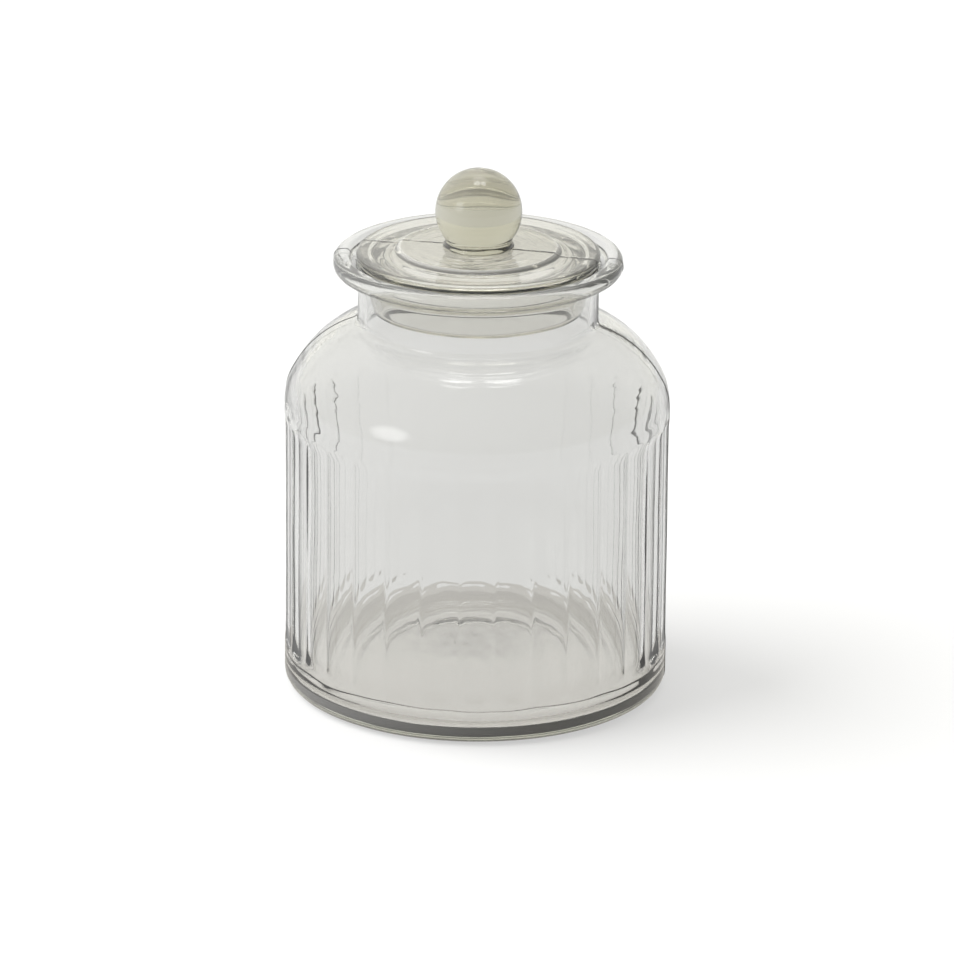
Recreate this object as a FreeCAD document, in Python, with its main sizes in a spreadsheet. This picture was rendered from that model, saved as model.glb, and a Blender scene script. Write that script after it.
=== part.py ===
import FreeCAD, Part
import math
import os
import Sketcher

# Apothecary jar: a fluted glass jar, its pressed lid with a hollow plug, and the ball knob on it.
# Millimetres, +Z up, origin at the centre of the foot ring where the jar stands.

DIMS = {
    # Jar, outside
    "body_radius": 91.3,
    "push_up": 1.8,
    "push_up_radius": 12.0,
    "push_up_rounding": 300.0,
    "foot_step_radius": 60.0,
    "foot_step": 0.5,
    "foot_step_rounding": 20.0,
    "foot_ring_inner_radius": 69.0,
    "foot_ring_rounding": 20.0,
    "heel_rounding": 7.0,
    "shoulder_low_corner_height": 147.55,
    "shoulder_low_rounding": 28.3,
    "shoulder_high_corner_radius": 76.75,
    "shoulder_high_corner_height": 172.6,
    "shoulder_high_rounding": 52.5,
    "neck_radius": 56.9,
    "neck_root_height": 179.95,
    "neck_root_rounding": 3.0,
    # Jar, rolled lip
    "lip_underside": 204.3,
    "lip_root_rounding": 5.5,
    "lip_radius": 68.4,
    "lip_rounding": 3.7,
    "lip_outer_top": 212.6,
    "lip_inner_radius": 61.4,
    "lip_inner_top": 213.0,
    "lip_inner_rounding": 1.8,
    "seat_height": 209.0,
    "seat_outer_radius": 58.6,
    "seat_edge_rounding": 1.2,
    # Jar, inside
    "mouth_radius": 51.5,
    "mouth_root_height": 176.4,
    "mouth_root_rounding": 7.0,
    "cavity_high_corner_radius": 73.15,
    "cavity_high_corner_height": 168.4,
    "cavity_high_rounding": 47.3,
    "cavity_radius": 86.0,
    "cavity_low_corner_height": 146.15,
    "cavity_low_rounding": 23.1,
    "cavity_floor": 6.2,
    "cavity_floor_rounding": 9.0,
    # Flutes, hollow grooves side by side round the wall
    "flute_count": 32,
    "flute_valley_radius": 90.18,
    "flute_axis_radius": 217.18,
    "flute_bottom": 2.0,
    "flute_top": 144.0,
    "flute_bottom_rounding": 26.0,
    "flute_top_rounding": 14.0,
    # Lid
    "flange_radius": 57.6,
    "flange_top": 214.8,
    "flange_rounding": 2.5,
    "flange_inner_radius": 40.2,
    "flange_step_rounding": 1.0,
    "disc_radius": 37.2,
    "disc_top": 216.5,
    "disc_rounding": 1.6,
    "plug_radius": 49.3,
    "plug_root_rounding": 1.2,
    "plug_bottom": 187.0,
    "plug_rim_rounding": 2.0,
    "plug_hollow_radius": 44.7,
    "plug_ceiling": 208.5,
    "plug_ceiling_rounding": 5.0,
    # Knob
    "knob_foot_radius": 17.0,
    "knob_foot_rounding": 0.5,
    "knob_foot_height": 1.8,
    "knob_neck_radius": 15.9,
    "knob_neck_top": 224.0,
    "knob_radius": 20.5,
    "knob_height": 233.4,
    "knob_cut_latitude": -50.0,
    "knob_neck_rounding": 4.0,
}

JAR_PROFILE = [
    (None, "push_up", None),
    ("push_up_radius", "push_up", "push_up_rounding"),
    ("foot_step_radius", "foot_step", "foot_step_rounding"),
    ("foot_ring_inner_radius", None, "foot_ring_rounding"),
    ("body_radius", None, "heel_rounding"),
    ("body_radius", "shoulder_low_corner_height", "shoulder_low_rounding"),
    ("shoulder_high_corner_radius", "shoulder_high_corner_height", "shoulder_high_rounding"),
    ("neck_radius", "neck_root_height", "neck_root_rounding"),
    ("neck_radius", "lip_underside", "lip_root_rounding"),
    ("lip_radius", "lip_underside", "lip_rounding"),
    ("lip_radius", "lip_outer_top", "lip_rounding"),
    ("lip_inner_radius", "lip_inner_top", "lip_inner_rounding"),
    ("seat_outer_radius", "seat_height", None),
    ("mouth_radius", "seat_height", "seat_edge_rounding"),
    ("mouth_radius", "mouth_root_height", "mouth_root_rounding"),
    ("cavity_high_corner_radius", "cavity_high_corner_height", "cavity_high_rounding"),
    ("cavity_radius", "cavity_low_corner_height", "cavity_low_rounding"),
    ("cavity_radius", "cavity_floor", "cavity_floor_rounding"),
    (None, "cavity_floor", None),
]

FLUTE_PROFILE = [
    ("flute_axis_radius", "flute_bottom", None),
    ("flute_axis_radius", "flute_top", None),
    ("flute_valley_radius", "flute_top", "flute_top_rounding"),
    ("flute_valley_radius", "flute_bottom", "flute_bottom_rounding"),
]

LID_PROFILE = [
    (None, "plug_ceiling", None),
    ("plug_hollow_radius", "plug_ceiling", "plug_ceiling_rounding"),
    ("plug_hollow_radius", "plug_bottom", "plug_rim_rounding"),
    ("plug_radius", "plug_bottom", "plug_rim_rounding"),
    ("plug_radius", "seat_height", "plug_root_rounding"),
    ("flange_radius", "seat_height", "flange_rounding"),
    ("flange_radius", "flange_top", "flange_rounding"),
    ("flange_inner_radius", "flange_top", "flange_step_rounding"),
    ("disc_radius", "disc_top", "disc_rounding"),
    (None, "disc_top", None),
]

KNOB_FOOT_PROFILE = [
    (None, "disc_top", None),
    ("knob_foot_radius", "disc_top", "knob_foot_rounding"),
    ("knob_neck_radius", "disc_top + knob_foot_height", None),
    ("knob_neck_radius", "knob_neck_top", None),
    (None, "knob_neck_top", None),
]


def make_dimension_sheet(document):
    sheet = document.addObject("Spreadsheet::Sheet", "Dims")
    for row, (name, value) in enumerate(DIMS.items(), start=1):
        sheet.set(f"A{row}", name)
        sheet.set(f"B{row}", str(value))
        sheet.setAlias(f"B{row}", name)
    document.recompute()


def value_of(size):
    """Number behind one entry of a profile: None, a dimension, or a sum of dimensions."""
    if size is None:
        return 0.0
    return sum(DIMS[name] for name in size.split(" + "))


def expression_of(size):
    return " + ".join(f"Dims.{name}" for name in size.split(" + "))


def origin_feature(body, role):
    for feature in body.Origin.OriginFeatures:
        if feature.Role == role:
            return feature
    raise RuntimeError(f"{body.Name} has no {role}")


def new_body(document, name):
    body = document.addObject("PartDesign::Body", name)
    body.Label = name
    body.Placement = FreeCAD.Placement()
    return body


def new_sketch(body, name):
    """Sketch on the XZ plane, so sketch x is a radius and sketch y is a height."""
    sketch = body.newObject("Sketcher::SketchObject", name)
    sketch.AttachmentSupport = [(origin_feature(body, "XZ_Plane"), "")]
    sketch.MapMode = "FlatFace"
    return sketch


def bind(sketch, index, size):
    sketch.setExpression(f"Constraints[{index}]", expression_of(size))


class Corner:
    """One corner of a profile, with the tangent points of its rounding if it has one."""

    def __init__(self, previous, here, following):
        self.radius_size, self.height_size, self.rounding_size = here
        self.point = corner_point(here)
        self.start = self.point
        self.end = self.point
        if self.rounding_size:
            self.round_off(corner_point(previous), corner_point(following))

    def round_off(self, previous, following):
        back = (previous - self.point).normalize()
        ahead = (following - self.point).normalize()
        half_angle = back.getAngle(ahead) / 2
        rounding = value_of(self.rounding_size)
        self.start = self.point + back * (rounding / math.tan(half_angle))
        self.end = self.point + ahead * (rounding / math.tan(half_angle))
        bisector = (back + ahead).normalize()
        self.centre = self.point + bisector * (rounding / math.sin(half_angle))
        self.middle = self.centre - bisector * rounding


def corner_point(entry):
    return FreeCAD.Vector(value_of(entry[0]), value_of(entry[1]), 0)


def draw_profile(sketch, entries):
    """Closed outline of straight lines with tangent arcs, every size bound to the sheet."""
    count = len(entries)
    corners = [Corner(entries[i - 1], entries[i], entries[(i + 1) % count]) for i in range(count)]
    lines = []
    for i, corner in enumerate(corners):
        following = corners[(i + 1) % count]
        lines.append(sketch.addGeometry(Part.LineSegment(corner.end, following.start), False))
    for i, corner in enumerate(corners):
        if corner.rounding_size:
            add_rounded_corner(sketch, corner, lines[i - 1], lines[i])
        else:
            joint = Sketcher.Constraint("Coincident", lines[i - 1], 2, lines[i], 1)
            sketch.addConstraint(joint)
            place_point(sketch, corner, lines[i], 1)


def add_rounded_corner(sketch, corner, line_before, line_after):
    arc_shape = Part.Arc(corner.start, corner.middle, corner.end)
    arc = sketch.addGeometry(arc_shape, False)
    arc_start = sketch.getPoint(arc, 1)
    first, last = (1, 2) if arc_start.distanceToPoint(corner.start) < 1e-6 else (2, 1)
    tip = sketch.addGeometry(Part.Point(corner.point), True)
    sketch.addConstraint(Sketcher.Constraint("Tangent", line_before, 2, arc, first))
    sketch.addConstraint(Sketcher.Constraint("Tangent", arc, last, line_after, 1))
    sketch.addConstraint(Sketcher.Constraint("PointOnObject", tip, 1, line_before))
    sketch.addConstraint(Sketcher.Constraint("PointOnObject", tip, 1, line_after))
    rounding = Sketcher.Constraint("Radius", arc, value_of(corner.rounding_size))
    bind(sketch, sketch.addConstraint(rounding), corner.rounding_size)
    place_point(sketch, corner, tip, 1)


def place_point(sketch, corner, geometry, end):
    """Fix one point to its radius and height; None stands for lying on the axis itself."""
    if corner.radius_size is None:
        sketch.addConstraint(Sketcher.Constraint("PointOnObject", geometry, end, -2))
    else:
        across = Sketcher.Constraint("DistanceX", -1, 1, geometry, end, corner.point.x)
        bind(sketch, sketch.addConstraint(across), corner.radius_size)
    if corner.height_size is None:
        sketch.addConstraint(Sketcher.Constraint("PointOnObject", geometry, end, -1))
    else:
        up = Sketcher.Constraint("DistanceY", -1, 1, geometry, end, corner.point.y)
        bind(sketch, sketch.addConstraint(up), corner.height_size)


def revolve(body, name, entries):
    sketch = new_sketch(body, f"{name}_profile")
    draw_profile(sketch, entries)
    feature = body.newObject("PartDesign::Revolution", name)
    feature.Profile = sketch
    feature.ReferenceAxis = (sketch, ["V_Axis"])
    feature.Angle = 360.0
    return feature


def cut_flutes(document, body):
    """Grooves turned about an upright line outside the wall, repeated round the jar.

    The first one is half a pitch from +X, so a ridge between two grooves lies on each mould line.
    """
    before = body.Shape.Volume
    sketch = new_sketch(body, "flute_profile")
    half_pitch = FreeCAD.Rotation(FreeCAD.Vector(0, 1, 0), 180 / DIMS["flute_count"])
    sketch.AttachmentOffset = FreeCAD.Placement(FreeCAD.Vector(), half_pitch)
    sketch.setExpression(".AttachmentOffset.Rotation.Angle", "180 deg / Dims.flute_count")
    draw_profile(sketch, FLUTE_PROFILE)
    groove = body.newObject("PartDesign::Groove", "flute")
    groove.Profile = sketch
    groove.ReferenceAxis = (sketch, ["Edge1"])
    groove.Angle = 360.0
    document.recompute()
    if body.Shape.Volume > before - 1.0:
        raise RuntimeError("the flute cuts nothing")
    pattern = body.newObject("PartDesign::PolarPattern", "flutes")
    pattern.Originals = [groove]
    pattern.Axis = (origin_feature(body, "Z_Axis"), [""])
    pattern.Angle = 360.0
    pattern.setExpression("Occurrences", "Dims.flute_count")
    body.Tip = pattern
    document.recompute()


def make_jar_body(document):
    body = new_body(document, "jar_body")
    revolve(body, "jar_wall", JAR_PROFILE)
    document.recompute()
    cut_flutes(document, body)
    return body


def make_lid(document):
    body = new_body(document, "lid")
    revolve(body, "lid_disc_and_plug", LID_PROFILE)
    document.recompute()
    return body


def neck_crease(shape):
    """The circle where the ball meets the upright foot."""
    drop = math.sqrt(DIMS["knob_radius"] ** 2 - DIMS["knob_neck_radius"] ** 2)
    crease_height = DIMS["knob_height"] - drop
    for index, edge in enumerate(shape.Edges, start=1):
        box = edge.BoundBox
        if box.ZLength < 0.01 and abs(box.ZMin - crease_height) < 0.01:
            return f"Edge{index}"
    raise RuntimeError("the knob has no crease to round")


def make_lid_knob(document):
    body = new_body(document, "lid_knob")
    revolve(body, "knob_foot", KNOB_FOOT_PROFILE)
    ball = body.newObject("PartDesign::AdditiveSphere", "knob_ball")
    ball.setExpression("Radius", "Dims.knob_radius")
    ball.setExpression("Angle1", "Dims.knob_cut_latitude")
    ball.setExpression(".Placement.Base.z", "Dims.knob_height")
    document.recompute()
    neck = body.newObject("PartDesign::Fillet", "knob_neck")
    neck.Base = (ball, [neck_crease(ball.Shape)])
    neck.setExpression("Radius", "Dims.knob_neck_rounding")
    document.recompute()
    return body


def check_document(document, bodies):
    for item in document.Objects:
        if "Invalid" in item.State or "Error" in item.State:
            raise RuntimeError(f"{item.Label} failed: {item.State}")
    for body in bodies:
        if body.Shape.isNull() or not body.Shape.isValid():
            raise RuntimeError(f"{body.Label} has no valid shape")
        if len(body.Shape.Solids) != 1:
            raise RuntimeError(f"{body.Label} is not one solid")


def export_parts(bodies):
    os.makedirs("parts", exist_ok=True)
    for body in bodies:
        body.Shape.exportStep(os.path.join("parts", f"{body.Label}.step"))


def main():
    document = FreeCAD.newDocument("apothecary_jar")
    make_dimension_sheet(document)
    bodies = [make_jar_body(document), make_lid(document), make_lid_knob(document)]
    document.recompute()
    check_document(document, bodies)
    export_parts(bodies)


main()
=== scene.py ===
import bpy
import math
from mathutils import Matrix, Vector, noise


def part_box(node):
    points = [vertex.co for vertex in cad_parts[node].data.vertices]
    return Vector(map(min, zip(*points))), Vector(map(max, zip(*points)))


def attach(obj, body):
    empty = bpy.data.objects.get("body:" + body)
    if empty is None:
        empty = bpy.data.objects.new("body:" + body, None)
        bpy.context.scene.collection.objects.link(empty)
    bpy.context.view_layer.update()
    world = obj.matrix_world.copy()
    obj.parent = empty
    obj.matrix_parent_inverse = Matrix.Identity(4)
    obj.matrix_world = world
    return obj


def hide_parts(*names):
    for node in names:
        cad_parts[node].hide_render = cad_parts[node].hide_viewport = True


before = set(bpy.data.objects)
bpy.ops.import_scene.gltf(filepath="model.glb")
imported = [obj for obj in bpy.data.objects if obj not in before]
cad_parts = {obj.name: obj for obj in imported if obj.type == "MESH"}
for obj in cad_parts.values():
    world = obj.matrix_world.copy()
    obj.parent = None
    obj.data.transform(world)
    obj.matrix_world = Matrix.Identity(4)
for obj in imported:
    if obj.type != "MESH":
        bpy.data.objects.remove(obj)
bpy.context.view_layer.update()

# Outlines and reliefs are in mm. Materials, lights and the camera are in m.
MM = 0.001
TAU = 2 * math.pi

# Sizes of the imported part
JAR_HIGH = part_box("jar_body")[1]
LID_LOW, LID_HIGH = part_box("lid")
KNOB_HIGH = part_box("lid_knob")[1]
BODY_RADIUS = JAR_HIGH[0] / MM
LIP_TOP = JAR_HIGH[2] / MM
DISC_TOP = LID_HIGH[2] / MM
PLUG_BOTTOM = LID_LOW[2] / MM
KNOB_TOP = KNOB_HIGH[2] / MM
BALL_RADIUS = KNOB_HIGH[0] / MM
BALL_HEIGHT = KNOB_TOP - BALL_RADIUS
BALL_START = BALL_HEIGHT - 12.0
CAVITY_RADIUS = 86.0
NECK_RADIUS = 56.9
SEAT = 209.0

# Flutes: each is cut by an upright drum beside the wall, which narrows toward the flute's ends
FLUTES = 32
FLUTE_PITCH = TAU / FLUTES
CUTTER_AXIS = BODY_RADIUS + 125.88
CUTTER_RADIUS = 127.0
CUTTER_BLEND, WALL_BLEND = 0.3, 0.2
FLUTE_LOW, FLUTE_HIGH = 28.0, 130.0
FLUTE_LOW_END, FLUTE_HIGH_END = 26.0, 14.0
FLUTES_BEGIN, FLUTES_END = 15, 142
ARRIS_BEAD, ARRIS_BEAD_WIDTH = 0.15, 0.9

# Mould lines, and the pressed ring inside the jar just above its floor: height and width of each
JAR_SEAM, JAR_SEAM_WIDTH = 0.25, 0.32
LID_SEAM, LID_SEAM_WIDTH = 0.26, 0.4
BASE_RING, BASE_RING_WIDTH = 0.5, 0.6
BASE_RING_Z = 15.6
JAR_SEAM_AZIMUTHS = (0, 180)
LID_SEAM_AZIMUTHS = (-8.6, -8.6 + 180)

# Waviness of the glass
JAR_SWELL, INSIDE_SWELL, LID_SWELL, KNOB_SWELL = 0.12, 0.35, 0.1, 0.12
KNOB_FOOT_LUMPS = 0.55

# Mesh columns in degrees, from the middle of a seam and from an arris between two flutes
SEAM_COLUMNS = (-0.45, -0.3, -0.18, -0.09, 0.0, 0.09, 0.18, 0.3, 0.45)
FLUTE_COLUMNS = (-3.8, -2.3, -1.5, -1.0, -0.6, -0.25, 0.25, 0.6, 1.0, 1.5, 2.3, 3.8, 5.625)
CLOSEST_COLUMNS = 0.07
LID_PITCH = 1.5
KNOB_COLUMNS = 160
BALL_STEPS = 60


# ---------------------------------------------------------------- outlines

def rounded(corners, arc_step, line_step):
    """Points along straight lines joined by tangent arcs. A corner is (radius, height, rounding)."""
    tips = [Vector((r, z)) for r, z, _ in corners]
    points = []
    for i, (_, _, rounding) in enumerate(corners):
        if not rounding or i in (0, len(corners) - 1):
            points.append(tips[i])
            continue
        back = (tips[i - 1] - tips[i]).normalized()
        ahead = (tips[i + 1] - tips[i]).normalized()
        half = back.angle(ahead) / 2
        centre = tips[i] + (back + ahead).normalized() * (rounding / math.sin(half))
        first = tips[i] + back * (rounding / math.tan(half)) - centre
        turn = first.angle_signed(tips[i] + ahead * (rounding / math.tan(half)) - centre)
        count = max(4, math.ceil(abs(turn) * rounding / arc_step))
        for k in range(count + 1):
            points.append(centre + Matrix.Rotation(-turn * k / count, 2) @ first)
    return densified(points, line_step)


def densified(points, step):
    """The same line with no stretch longer than the step, and no point twice."""
    dense = [points[0]]
    for a, b in zip(points, points[1:]):
        pieces = max(1, math.ceil((b - a).length / step))
        dense.extend(a.lerp(b, k / pieces) for k in range(1, pieces + 1) if (b - a).length > 1e-6)
    return dense


def resampled_heights(points, bands):
    """Extra points on upright stretches: each band is (radius, low, high, step)."""
    clearance = 0.3
    result = [points[0]]
    for a, b in zip(points, points[1:]):
        bottom, top = min(a.y, b.y) + clearance, max(a.y, b.y) - clearance
        cuts = set()
        for radius, low, high, step in bands:
            if abs(a.x - radius) + abs(b.x - radius) < 1e-4:
                cuts.update(z for z in range_of(low, high, step) if bottom < z < top)
        result.extend(Vector((a.x, z)) for z in sorted(cuts, reverse=b.y < a.y))
        result.append(b)
    return result


def spin(name, outline, azimuths, relief):
    """Closed mesh turned about the axis. relief moves a point along the outline's normal."""
    verts, rings = [], []
    last = len(outline) - 1
    for i, point in enumerate(outline):
        along = (outline[min(last, i + 1)] - outline[max(0, i - 1)]).normalized()
        normal = Vector((along.y, -along.x))
        if point.x < 1e-6:
            rings.append([len(verts)])
            verts.append(Vector((0, 0, point.y)) * MM)
            continue
        ring = []
        for azimuth in azimuths:
            moved = point + normal * relief(point, normal, azimuth)
            ring.append(len(verts))
            verts.append(Vector((moved.x * math.cos(azimuth), moved.x * math.sin(azimuth), moved.y)) * MM)
        rings.append(ring)
    faces = []
    count = len(azimuths)
    for lower, upper in zip(rings, rings[1:]):
        for j in range(count):
            k = (j + 1) % count
            if len(lower) == 1:
                faces.append((lower[0], upper[k], upper[j]))
            elif len(upper) == 1:
                faces.append((lower[j], lower[k], upper[0]))
            else:
                faces.append((lower[j], lower[k], upper[k], upper[j]))
    mesh = bpy.data.meshes.new(name)
    mesh.from_pydata(verts, [], faces)
    mesh.validate()
    mesh.update()
    mesh.shade_smooth()
    piece = bpy.data.objects.new(name, mesh)
    bpy.context.scene.collection.objects.link(piece)
    return piece


def azimuth_list(pitch, offsets, seams):
    """Azimuths at the offsets from each multiple of the pitch, and close to each seam.

    Arguments are in degrees and the result in radians. Columns that nearly coincide are dropped.
    """
    angles = [start + offset for start in range_of(0, 360, pitch) for offset in offsets]
    angles += [seam + offset for seam in seams for offset in SEAM_COLUMNS]
    angles = sorted(angle % 360 for angle in angles)
    kept = [angles[0]]
    for angle in angles[1:]:
        if CLOSEST_COLUMNS < angle - kept[-1] and angle < kept[0] + 360 - CLOSEST_COLUMNS:
            kept.append(angle)
    return [math.radians(angle) for angle in kept]


def range_of(first, end, step):
    return [first + step * k for k in range(round((end - first) / step))]


# ---------------------------------------------------------------- relief

def smooth_min(a, b, blend):
    """The smaller of two values, with the corner between them rounded."""
    overlap = max(blend - abs(a - b), 0.0) / blend
    return min(a, b) - overlap * overlap * blend / 4


def end_drop(z):
    """How much narrower the cutter is at this height."""
    if z > FLUTE_HIGH:
        past = min(z - FLUTE_HIGH, FLUTE_HIGH_END)
        return FLUTE_HIGH_END - math.sqrt(FLUTE_HIGH_END ** 2 - past ** 2)
    if z < FLUTE_LOW:
        past = min(FLUTE_LOW - z, FLUTE_LOW_END)
        return FLUTE_LOW_END - math.sqrt(FLUTE_LOW_END ** 2 - past ** 2)
    return 0.0


def cut_radius(angle, z):
    """Distance from the jar's axis to the cutter, or beyond the wall where it misses the cutter."""
    cutter = CUTTER_RADIUS - end_drop(z)
    side = CUTTER_AXIS * math.sin(angle)
    if cutter <= abs(side):
        return BODY_RADIUS + 20
    return CUTTER_AXIS * math.cos(angle) - math.sqrt(cutter ** 2 - side ** 2)


def flute_relief(point, azimuth):
    """Depth of the flutes, as a negative number. A narrow bead stands on each arris between two."""
    if point.x < BODY_RADIUS - 1.5 or not FLUTES_BEGIN < point.y < FLUTES_END:
        return 0.0
    local = (azimuth % FLUTE_PITCH) - FLUTE_PITCH / 2
    beside = local - math.copysign(FLUTE_PITCH, local)
    wall = smooth_min(cut_radius(local, point.y), cut_radius(beside, point.y), CUTTER_BLEND)
    off_arris = (FLUTE_PITCH / 2 - abs(local)) * point.x
    wall += ARRIS_BEAD * ridge_shape(off_arris, ARRIS_BEAD_WIDTH)
    wall = smooth_min(wall, point.x, WALL_BLEND)
    return min(0.0, wall - point.x)


def ridge_shape(distance, width):
    """A soft ridge's profile: 1 at its middle and next to nothing two widths away."""
    return math.exp(-(distance / width) ** 2)


def wave(azimuth, height, around, up, seed):
    """Smooth waviness, repeating once round the jar."""
    spot = Vector((math.cos(azimuth) * around, math.sin(azimuth) * around, height * up))
    return noise.noise(spot + Vector((seed, 0, 0)))


def inward(height, level):
    """Waviness that only dips below the part's own surface."""
    return min(0.0, height * (level - 0.6))


def jar_relief(point, normal, azimuth):
    """Outside: flutes, mould lines and waviness. Inside: the ring above the floor and waviness."""
    outside = normal.x > 0.05 and point.x > NECK_RADIUS - 1 or point.y > LIP_TOP - 1.5
    if outside:
        off_seam = abs((azimuth + math.pi / 2) % math.pi - math.pi / 2) * point.x
        ridge = JAR_SEAM * (ridge_shape(off_seam, JAR_SEAM_WIDTH) - 1)
        swell = inward(JAR_SWELL, wave(azimuth, point.y, 2.2, 0.035, 3.1))
        return flute_relief(point, azimuth) + ridge + swell
    if point.y > 8 and point.x < CAVITY_RADIUS + 1:
        off_ring = point.y - BASE_RING_Z - wave(azimuth, 0, 5, 0, 1.9)
        ring = BASE_RING * ridge_shape(off_ring, BASE_RING_WIDTH)
        return ring + INSIDE_SWELL * wave(azimuth, point.y, 2.6, 0.022, 7.7)
    return 0.0


def lid_relief(point, normal, azimuth):
    """A mould line across the top, and waviness all over."""
    off_seam = point.x * abs(math.sin(azimuth - math.radians(LID_SEAM_AZIMUTHS[0])))
    on_top = point.y > LIP_TOP - 3 and (normal.y > 0.05 or normal.x > 0.5)
    ridge = LID_SEAM * (ridge_shape(off_seam, LID_SEAM_WIDTH) - 1) if on_top else 0.0
    return ridge + inward(LID_SWELL, wave(azimuth, point.y, 1.6, 0.03, 11.3))


def knob_relief(point, normal, azimuth):
    """Lumps where the foot is fused on the disc, and waviness all over."""
    joint = ridge_shape(point.y - DISC_TOP - 2.0, 2.2)
    lumps = KNOB_FOOT_LUMPS * wave(azimuth, point.y, 1.5, 0.35, 5.9) - 0.1
    return joint * lumps + inward(KNOB_SWELL, wave(azimuth, point.y, 1.2, 0.06, 2.3))


# ---------------------------------------------------------------- glass

# Height over which the pressed-in circles fade in: the wall below them has none
RINGS_FADE_IN = (0.13, 0.15)


def glass(name, tint, absorbed, density, clarity, ripple, rings, milky):
    """Clear glass, coloured by its tint at each surface and by absorption through its thickness.

    ripple and rings are (scale, height) of soft waviness and of pressed-in circles.
    Each milky zone is (radius, low, high, loss): outside that radius and between those heights
    the glass is less clear by that much.
    """
    material = bpy.data.materials.new(name)
    material.use_nodes = True
    nodes, links = material.node_tree.nodes, material.node_tree.links
    shader = nodes["Principled BSDF"]
    shader.inputs["Base Color"].default_value = (*tint, 1)
    shader.inputs["Roughness"].default_value = 0.0
    shader.inputs["IOR"].default_value = 1.5
    shader.inputs["Transmission Weight"].default_value = clarity
    place = nodes.new("ShaderNodeTexCoord").outputs["Object"]
    radius, height = radius_and_height(nodes, links, place)
    soft = bump_node(nodes, links, place, *ripple)
    circles = bump_node(nodes, links, ring_coordinates(nodes, links, place, radius), *rings)
    links.new(eased(nodes, links, height, RINGS_FADE_IN, (0.0, 1.0)), circles.inputs["Strength"])
    links.new(soft.outputs["Normal"], circles.inputs["Normal"])
    links.new(circles.outputs["Normal"], shader.inputs["Normal"])
    left = clarity
    for inside, low, high, loss in milky:
        outside = eased(nodes, links, radius, (inside - MM, inside), (0.0, loss))
        above = eased(nodes, links, height, (low - MM, low), (0.0, 1.0))
        below = eased(nodes, links, height, (high - MM, high), (1.0, 0.0))
        zone = combined(nodes, links, "MULTIPLY", outside, above)
        zone = combined(nodes, links, "MULTIPLY", zone, below)
        left = combined(nodes, links, "SUBTRACT", left, zone)
    if milky:
        links.new(left, shader.inputs["Transmission Weight"])
    volume = nodes.new("ShaderNodeVolumeAbsorption")
    volume.inputs["Color"].default_value = (*absorbed, 1)
    volume.inputs["Density"].default_value = density
    links.new(volume.outputs["Volume"], nodes["Material Output"].inputs["Volume"])
    return material


def combined(nodes, links, operation, first, second):
    """Two values joined by a sum: first is a number or a socket, second a socket."""
    result = nodes.new("ShaderNodeMath")
    result.operation = operation
    if isinstance(first, float):
        result.inputs[0].default_value = first
    else:
        links.new(first, result.inputs[0])
    links.new(second, result.inputs[1])
    return result.outputs["Value"]


def radius_and_height(nodes, links, place):
    """Distance from the jar's axis, and height above its foot."""
    flat = nodes.new("ShaderNodeVectorMath")
    flat.operation = "MULTIPLY"
    flat.inputs[1].default_value = (1, 1, 0)
    links.new(place, flat.inputs[0])
    radius = nodes.new("ShaderNodeVectorMath")
    radius.operation = "LENGTH"
    links.new(flat.outputs["Vector"], radius.inputs[0])
    split = nodes.new("ShaderNodeSeparateXYZ")
    links.new(place, split.inputs["Vector"])
    return radius.outputs["Value"], split.outputs["Z"]


def eased(nodes, links, value, span, levels):
    """A value carried smoothly from one level to the other over the span."""
    step = nodes.new("ShaderNodeMapRange")
    step.interpolation_type = "SMOOTHSTEP"
    step.inputs["From Min"].default_value, step.inputs["From Max"].default_value = span
    step.inputs["To Min"].default_value, step.inputs["To Max"].default_value = levels
    links.new(value, step.inputs["Value"])
    return step.outputs["Result"]


def bump_node(nodes, links, place, scale, height):
    """A bump of this height from smooth noise, stretched by the scale."""
    stretch = nodes.new("ShaderNodeMapping")
    stretch.inputs["Scale"].default_value = scale
    waves = nodes.new("ShaderNodeTexNoise")
    waves.inputs["Scale"].default_value = 1.0
    waves.inputs["Detail"].default_value = 1.5
    bump = nodes.new("ShaderNodeBump")
    bump.inputs["Distance"].default_value = height
    links.new(place, stretch.inputs["Vector"])
    links.new(stretch.outputs["Vector"], waves.inputs["Vector"])
    links.new(waves.outputs["Fac"], bump.inputs["Height"])
    return bump


def ring_coordinates(nodes, links, place, radius):
    """(radius, azimuth, 0) of a point, so that noise in them runs round the jar."""
    split = nodes.new("ShaderNodeSeparateXYZ")
    angle = nodes.new("ShaderNodeMath")
    angle.operation = "ARCTAN2"
    joined = nodes.new("ShaderNodeCombineXYZ")
    links.new(place, split.inputs["Vector"])
    links.new(split.outputs["X"], angle.inputs[0])
    links.new(split.outputs["Y"], angle.inputs[1])
    links.new(radius, joined.inputs["X"])
    links.new(angle.outputs["Value"], joined.inputs["Y"])
    return joined.outputs["Vector"]


# ---------------------------------------------------------------- pieces

def place_piece(piece, material, body, node):
    piece.data.materials.append(material)
    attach(piece, body)
    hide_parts(node)


# Corners are (radius, height, rounding). The jar: underside, outside, lip, ledge, bore and cavity
jar_outline = rounded([
    (0, 1.8, 0),
    (12, 1.8, 300),
    (60, 0.5, 20.0),
    (69, 0, 20.0),
    (BODY_RADIUS, 0, 7.0),
    (BODY_RADIUS, 147.55, 28.3),
    (76.75, 172.6, 52.5),
    (NECK_RADIUS, 179.95, 3.0),
    (NECK_RADIUS, 204.3, 5.5),
    (68.4, 204.3, 3.7),
    (68.4, 212.6, 3.7),
    (61.4, LIP_TOP + 0.054, 1.8),
    (58.6, SEAT, 0),
    (51.5, SEAT, 1.2),
    (51.5, 176.4, 7.0),
    (73.15, 168.4, 47.3),
    (CAVITY_RADIUS, 146.15, 23.1),
    (CAVITY_RADIUS, 6.2, 9.0),
    (0, 6.2, 0),
], 2.2, 6.0)
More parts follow.
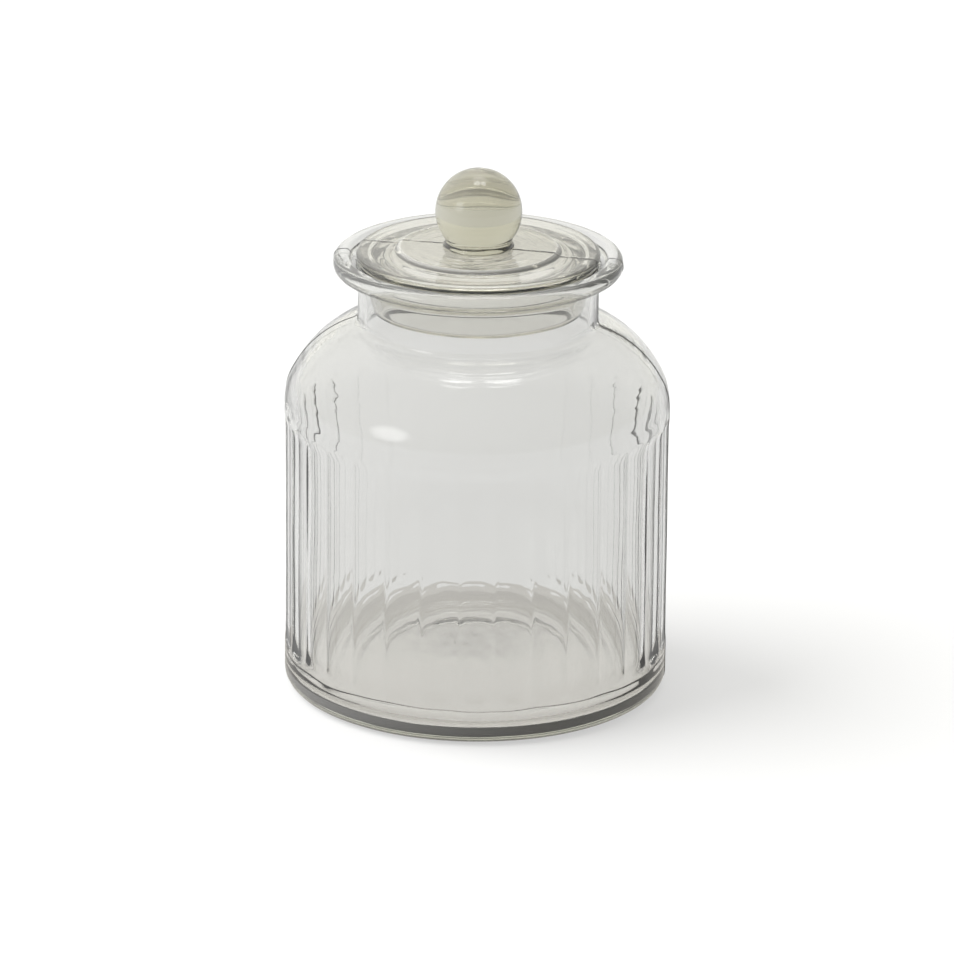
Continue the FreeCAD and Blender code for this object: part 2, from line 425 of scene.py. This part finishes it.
# Finer at the ring above the floor and at the two ends of the flutes
jar_outline = resampled_heights(jar_outline, [
    (CAVITY_RADIUS, 15.4, 17.6, 0.25),
    (BODY_RADIUS, 19.0, 29.0, 1.2),
    (BODY_RADIUS, 126.0, 138.0, 0.6),
])
jar_columns = azimuth_list(360 / FLUTES, FLUTE_COLUMNS, JAR_SEAM_AZIMUTHS)
jar = spin("jar_glass", jar_outline, jar_columns, jar_relief)

# The lid: hollow of the plug, plug, flange, step and disc
lid_outline = rounded([
    (0, 208.5, 0),
    (44.7, 208.5, 5.0),
    (44.7, PLUG_BOTTOM, 2.0),
    (49.3, PLUG_BOTTOM, 2.0),
    (49.3, SEAT, 1.2),
    (57.6, SEAT, 2.5),
    (57.6, 214.8, 2.5),
    (39.2, 214.8, 1.0),
    (37.2, DISC_TOP, 1.4),
    (0, DISC_TOP, 0),
], 0.6, 3.0)
lid = spin("lid_glass", lid_outline, azimuth_list(LID_PITCH, (0,), LID_SEAM_AZIMUTHS), lid_relief)


def knob_outline():
    """Foot, drawn-in neck and ball. The foot reaches a little into the disc it is fused on.

    The foot's points are (radius, height above the disc).
    """
    foot = [(0, -0.25), (16.6, -0.25), (17.0, 0.3), (16.8, 0.9), (16.3, 1.6), (15.95, 2.4), (15.85, 3.3)]
    foot = [Vector((radius, DISC_TOP + rise)) for radius, rise in foot]
    start = math.asin((BALL_START - BALL_HEIGHT) / BALL_RADIUS)
    ball = []
    for k in range(BALL_STEPS + 1):
        angle = start + (math.pi / 2 - start) * k / BALL_STEPS
        ball.append(Vector((BALL_RADIUS * math.cos(angle), BALL_HEIGHT + BALL_RADIUS * math.sin(angle))))
    ball[-1].x = 0.0
    return densified(foot[:2], 2.0) + foot[2:] + ball


knob_columns = [TAU * k / KNOB_COLUMNS for k in range(KNOB_COLUMNS)]
knob = spin("knob_glass", knob_outline(), knob_columns, knob_relief)

# Milky zones, in m: (radius, low, high, loss)
HEEL_MILK = (0.085, -0.01, 0.0105, 0.09)
LIP_MILK = (0.0605, 0.2038, 0.30, 0.06)
FLANGE_MILK = (0.0367, 0.2142, 0.30, 0.05)
STEP_MILK = (0.0370, 0.2158, 0.30, 0.17)
jar_material = glass(
    "clear_glass", tint=(0.97, 0.97, 0.966), absorbed=(0.80, 0.81, 0.72), density=10.0, clarity=0.96,
    ripple=((45, 45, 90), 0.00009), rings=((300, 1.1, 1), 0.00012), milky=[HEEL_MILK, LIP_MILK])
lid_material = glass(
    "olive_glass", tint=(0.945, 0.933, 0.89), absorbed=(0.80, 0.785, 0.66), density=18.0, clarity=0.94,
    ripple=((60, 60, 90), 0.0001), rings=((330, 1.3, 1), 0.00014), milky=[FLANGE_MILK, STEP_MILK])
knob_material = glass(
    "olive_ball_glass", tint=(0.945, 0.94, 0.915), absorbed=(0.80, 0.79, 0.70), density=52.0, clarity=0.94,
    ripple=((70, 70, 70), 0.0001), rings=((330, 1.3, 1), 0.0), milky=[])
place_piece(jar, jar_material, "jar", "jar_body")
place_piece(lid, lid_material, "lid", "lid")
place_piece(knob, knob_material, "lid", "lid_knob")


# ---------------------------------------------------------------- stage

# The floor plainly seen: its own glow, and how white it is under the lamp
FLOOR_GLOW, FLOOR_WHITE = 0.53, 0.29
FLOOR_HALF_WIDTH, FLOOR_Z = 6.0, -0.0003
# The floor as the glass shows it, with a painted contact shadow: dimmer and warmer under the jar and just
# round it, with a thin painted dark line at its outer edge. Stops are (distance from the axis, colour)
PAINTED_FLOOR_SHADOW_REACH = 0.2
PAINTED_FLOOR_SHADOW = [
    (0.076, (0.640, 0.620, 0.590)),
    (0.086, (0.570, 0.550, 0.510)),
    (0.100, (0.600, 0.580, 0.545)),
    (0.126, (0.630, 0.610, 0.580)),
    # Thin painted dark line at the outer edge of the painted shadow
    (0.1285, (0.50, 0.485, 0.46)),
    (0.1305, (0.820, 0.820, 0.812)),
]
# The surroundings as the glass shows them, and their bright patches:
# (direction, cosine where the patch begins, cosine where it is full, strength)
ROOM = (0.50, 0.495, 0.44)
LOBES = [
    ((0, 1, 0.25), 0.15, 0.75, 0.45),
    ((0, 0.33, 0.94), 0.95, 0.99, 1.5),
    ((-0.10, 0.09, 0.99), 0.990, 0.998, 4.5),
    ((0.13, 0.12, 0.98), 0.990, 0.998, 4.5),
    ((-0.73, -0.60, 0.33), 0.965, 0.997, 2.2),
]
LAMP_FROM = (-0.77, -0.04, 0.64)
LAMP_STRENGTH = 5.9
LAMP_WIDTH = math.radians(64)

# The camera: angles in degrees. The focal length is 7000 pixels of a frame 954 wide
SENSOR_WIDTH = 36.0
FOCAL_LENGTH = 7000 / 954 * SENSOR_WIDTH
CAMERA_TURN, CAMERA_RISE, CAMERA_ROLL = 5.2, 19.7, 0.507
CAMERA_DISTANCE = 3.32
AIM_HEIGHT, AIM_ASIDE = 0.1012, 0.00025


def plain_or_in_glass(nodes, links, plain, in_glass):
    """The plain colour where the camera sees it directly, the socket's where the glass shows it."""
    choice = nodes.new("ShaderNodeMix")
    choice.data_type = "RGBA"
    factor, first, second = choice.inputs[0], choice.inputs[6], choice.inputs[7]
    second.default_value = (*plain, 1)
    links.new(nodes.new("ShaderNodeLightPath").outputs["Is Camera Ray"], factor)
    links.new(in_glass, first)
    return choice.outputs[2]


def make_floor():
    mesh = bpy.data.meshes.new("floor")
    corners = [(-1, -1), (1, -1), (1, 1), (-1, 1)]
    corners = [(x * FLOOR_HALF_WIDTH, y * FLOOR_HALF_WIDTH, FLOOR_Z) for x, y in corners]
    mesh.from_pydata(corners, [], [(0, 1, 2, 3)])
    floor = bpy.data.objects.new("floor", mesh)
    bpy.context.scene.collection.objects.link(floor)
    paint = bpy.data.materials.new("floor_white")
    paint.use_nodes = True
    shader = paint.node_tree.nodes["Principled BSDF"]
    shader.inputs["Roughness"].default_value = 0.9
    shader.inputs["Specular IOR Level"].default_value = 0.1
    shader.inputs["Emission Strength"].default_value = 1.0
    nodes, links = paint.node_tree.nodes, paint.node_tree.links
    white = nodes.new("ShaderNodeMapRange")
    white.inputs["To Min"].default_value = 0.0
    white.inputs["To Max"].default_value = FLOOR_WHITE
    links.new(nodes.new("ShaderNodeLightPath").outputs["Is Camera Ray"], white.inputs["Value"])
    links.new(white.outputs["Result"], shader.inputs["Base Color"])
    # The glow the glass sees carries the painted contact shadow round the jar
    glow = plain_or_in_glass(nodes, links, (FLOOR_GLOW,) * 3, painted_floor_shadow(nodes, links))
    links.new(glow, shader.inputs["Emission Color"])
    mesh.materials.append(paint)


def painted_floor_shadow(nodes, links):
    """Painted contact shadow on the floor the glass shows: dimmer and warmer where the jar stands and just
    round it.
    """
    radius = nodes.new("ShaderNodeVectorMath")
    radius.operation = "LENGTH"
    links.new(nodes.new("ShaderNodeTexCoord").outputs["Object"], radius.inputs[0])
    span = nodes.new("ShaderNodeMapRange")
    span.inputs["From Max"].default_value = PAINTED_FLOOR_SHADOW_REACH
    links.new(radius.outputs["Value"], span.inputs["Value"])
    ramp = nodes.new("ShaderNodeValToRGB")
    ramp.color_ramp.interpolation = "EASE"
    stops = ramp.color_ramp.elements
    while len(stops) < len(PAINTED_FLOOR_SHADOW):
        stops.new(0.5)
    for stop, (distance, colour) in zip(stops, PAINTED_FLOOR_SHADOW):
        stop.position = distance / PAINTED_FLOOR_SHADOW_REACH
        stop.color = (*colour, 1)
    links.new(span.outputs["Result"], ramp.inputs["Fac"])
    return ramp.outputs["Color"]


def smooth_lobe(nodes, links, direction, toward, start, end, strength):
    """A soft bright patch of the surroundings round one direction."""
    dot = nodes.new("ShaderNodeVectorMath")
    dot.operation = "DOT_PRODUCT"
    dot.inputs[1].default_value = Vector(toward).normalized()
    links.new(direction, dot.inputs[0])
    return eased(nodes, links, dot.outputs["Value"], (start, end), (0.0, strength))


def make_surroundings():
    """White to the camera. The glass shows the room with its bright patches instead."""
    world = bpy.data.worlds.new("studio")
    bpy.context.scene.world = world
    world.use_nodes = True
    nodes, links = world.node_tree.nodes, world.node_tree.links
    place = nodes.new("ShaderNodeTexCoord")
    direction = place.outputs["Generated"]
    total = None
    for lobe in LOBES:
        add = nodes.new("ShaderNodeVectorMath")
        add.operation = "ADD"
        if total is None:
            add.inputs[0].default_value = ROOM
        else:
            links.new(total, add.inputs[0])
        links.new(smooth_lobe(nodes, links, direction, *lobe), add.inputs[1])
        total = add.outputs["Vector"]
    seen = plain_or_in_glass(nodes, links, (1, 1, 1), total)
    links.new(seen, nodes["Background"].inputs["Color"])


def make_lamp():
    """A wide soft lamp at the left, which throws the shadow to the right and makes no glint."""
    lamp = bpy.data.lights.new("side_lamp", "SUN")
    lamp.energy = LAMP_STRENGTH
    lamp.angle = LAMP_WIDTH
    holder = bpy.data.objects.new("side_lamp", lamp)
    bpy.context.scene.collection.objects.link(holder)
    holder.rotation_euler = Vector(LAMP_FROM).to_track_quat("Z", "Y").to_euler()
    holder.visible_glossy = False
    holder.visible_transmission = False


def make_camera():
    camera = bpy.data.cameras.new("camera")
    camera.sensor_width = SENSOR_WIDTH
    camera.lens = FOCAL_LENGTH
    camera.clip_end = 50.0
    holder = bpy.data.objects.new("camera", camera)
    bpy.context.scene.collection.objects.link(holder)
    turn, rise, roll = (math.radians(angle) for angle in (CAMERA_TURN, CAMERA_RISE, CAMERA_ROLL))
    back = Vector((math.sin(turn) * math.cos(rise), -math.cos(turn) * math.cos(rise), math.sin(rise)))
    right = Vector((math.cos(turn), math.sin(turn), 0))
    up = back.cross(right)
    tilted_right = right * math.cos(roll) + up * math.sin(roll)
    tilted_up = up * math.cos(roll) - right * math.sin(roll)
    spot = Vector((0, 0, AIM_HEIGHT)) + right * AIM_ASIDE + back * CAMERA_DISTANCE
    axes = Matrix((tilted_right, tilted_up, back)).transposed().to_4x4()
    holder.matrix_world = Matrix.Translation(spot) @ axes
    bpy.context.scene.camera = holder


make_floor()
make_surroundings()
make_lamp()
make_camera()

scene = bpy.context.scene
scene.view_settings.view_transform = "Standard"
# Enough bounces for light trapped in the thick rims. Caustics off keeps the contact shadow dark.
scene.cycles.max_bounces = 32
scene.cycles.transmission_bounces = 32
scene.cycles.caustics_refractive = False
scene.cycles.caustics_reflective = False
scene.cycles.use_denoising = True
